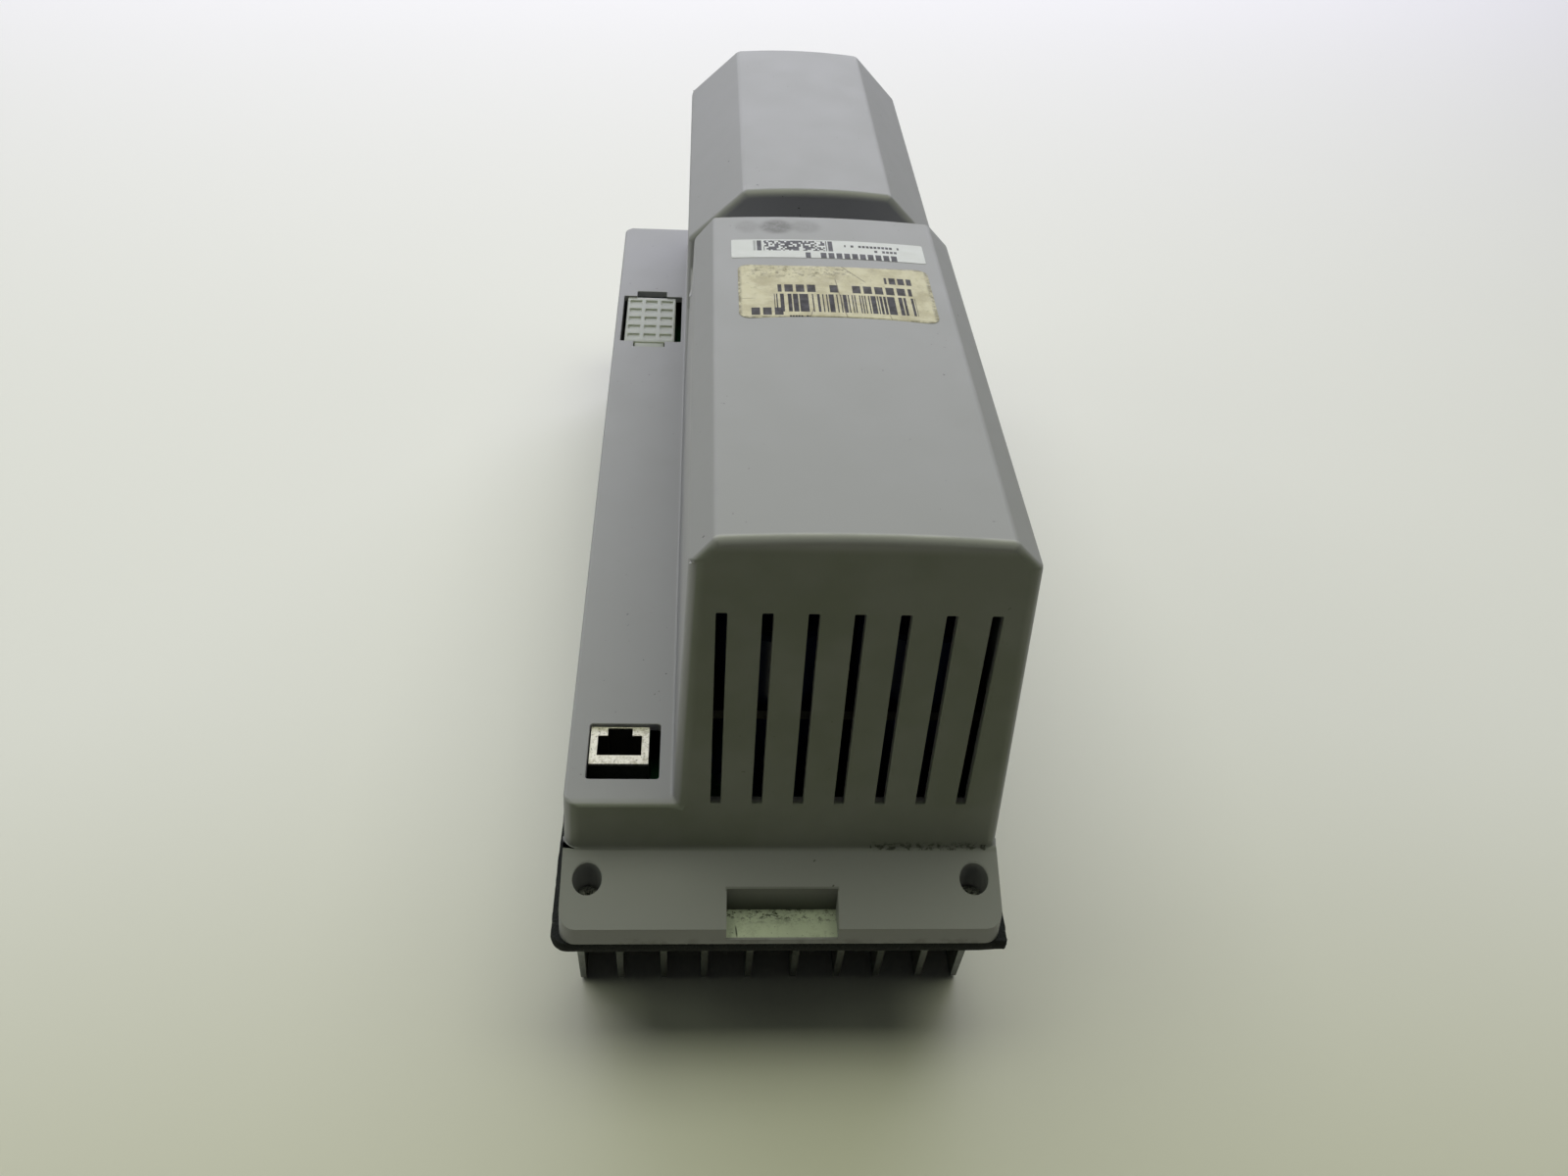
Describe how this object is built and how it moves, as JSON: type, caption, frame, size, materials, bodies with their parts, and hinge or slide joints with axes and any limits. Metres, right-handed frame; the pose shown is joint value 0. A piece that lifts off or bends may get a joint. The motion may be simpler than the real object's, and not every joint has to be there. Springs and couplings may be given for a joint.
{
  "type": "servo drive",
  "caption": "Cabinet servo drive: stepped moulded cover with vent slots and socket shelf, foam gasket and finned heat sink, held by captive screws.",
  "frame": {"origin": "under the middle of the drive, at the height of the fin tips", "axes": "+Z from the fins to the cover, +Y along the long side, -X towards the shelf with the sockets"},
  "size_m": [0.1246, 0.386, 0.1707],
  "materials": {
    "cover_plastic": "fine moulded grain",
    "sink_aluminium": "dull extruded",
    "gasket_foam": "closed-cell foam",
    "board_green": "solder mask",
    "zinc_steel": "zinc plated",
    "bush_nylon": "natural nylon",
    "shield_steel": "tin plated",
    "black_plastic": "moulded",
    "contact_gold": "plated",
    "nylon_natural": "natural nylon",
    "cable_grey": "satin",
    "brass": "turned",
    "copper": "bare copper",
    "pad_silicone": "soft",
    "capacitor_sleeve": "shrink sleeve",
    "relay_blue": "moulded",
    "ferrite": "sintered",
    "enamel_wire": "enamelled",
    "winding_tape": "polyester tape",
    "label_white": "printed film",
    "label_aged": "aged printed film"
  },
  "bodies": {
    "root": {"cover_near_foot": "cover_plastic", "cover_far_foot": "cover_plastic", "cover_shelf": "cover_plastic", "cover_near_hump": "cover_plastic", "cover_far_hump": "cover_plastic", "heat_sink": "sink_aluminium", "base_gasket": "gasket_foam", "main_board": "board_green", "logic_board": "board_green", "board_socket": "black_plastic", "ribbon_cable": "cable_grey", "board_standoffs": "brass", "board_screws": "zinc_steel", "cover_screws": "zinc_steel", "retaining_bushes": "bush_nylon", "jack_shield": "shield_steel", "jack_insert": "black_plastic", "jack_contacts": "contact_gold", "signal_header": "nylon_natural", "signal_pins": "zinc_steel", "power_header": "black_plastic", "power_pins": "zinc_steel", "bus_bars": "copper", "power_module_1": "black_plastic", "power_module_2": "black_plastic", "power_module_3": "black_plastic", "power_module_4": "black_plastic", "thermal_pads": "pad_silicone", "module_screws": "zinc_steel", "capacitor_1": "capacitor_sleeve", "capacitor_2": "capacitor_sleeve", "capacitor_3": "capacitor_sleeve", "capacitor_4": "capacitor_sleeve", "capacitor_clamp": "black_plastic", "current_sensor_1": "black_plastic", "current_sensor_2": "black_plastic", "current_sensor_3": "black_plastic", "relay_1": "relay_blue", "relay_2": "relay_blue", "transformer_core": "ferrite", "transformer_winding": "winding_tape", "choke_core": "ferrite", "choke_winding": "enamel_wire", "choke_saddle": "black_plastic", "board_fuses": "nylon_natural", "code_label": "label_white", "name_label": "label_aged"},
    "washer_1": {"screw_washer_1": "zinc_steel"},
    "screw_1": {"mounting_screw_1": "zinc_steel"},
    "washer_2": {"screw_washer_2": "zinc_steel"},
    "screw_2": {"mounting_screw_2": "zinc_steel"},
    "washer_3": {"screw_washer_3": "zinc_steel"},
    "screw_3": {"mounting_screw_3": "zinc_steel"},
    "washer_4": {"screw_washer_4": "zinc_steel"},
    "screw_4": {"mounting_screw_4": "zinc_steel"}
  },
  "joints": [
    {"name": "screw_1_lift", "type": "slide", "parent": "root", "child": "washer_1", "axis": [0, 0, 1], "range_m": [0, 0.0045]},
    {"name": "screw_1_turn", "type": "hinge", "parent": "washer_1", "child": "screw_1", "pos_m": [-0.0522, -0.18045, 0.05], "axis": [0, 0, 1], "continuous": true},
    {"name": "screw_2_lift", "type": "slide", "parent": "root", "child": "washer_2", "axis": [0, 0, 1], "range_m": [0, 0.0045]},
    {"name": "screw_2_turn", "type": "hinge", "parent": "washer_2", "child": "screw_2", "pos_m": [-0.0522, 0.18045, 0.05], "axis": [0, 0, 1], "continuous": true},
    {"name": "screw_3_lift", "type": "slide", "parent": "root", "child": "washer_3", "axis": [0, 0, 1], "range_m": [0, 0.0045]},
    {"name": "screw_3_turn", "type": "hinge", "parent": "washer_3", "child": "screw_3", "pos_m": [0.0522, -0.18045, 0.05], "axis": [0, 0, 1], "continuous": true},
    {"name": "screw_4_lift", "type": "slide", "parent": "root", "child": "washer_4", "axis": [0, 0, 1], "range_m": [0, 0.0045]},
    {"name": "screw_4_turn", "type": "hinge", "parent": "washer_4", "child": "screw_4", "pos_m": [0.0522, 0.18045, 0.05], "axis": [0, 0, 1], "continuous": true}
  ]
}
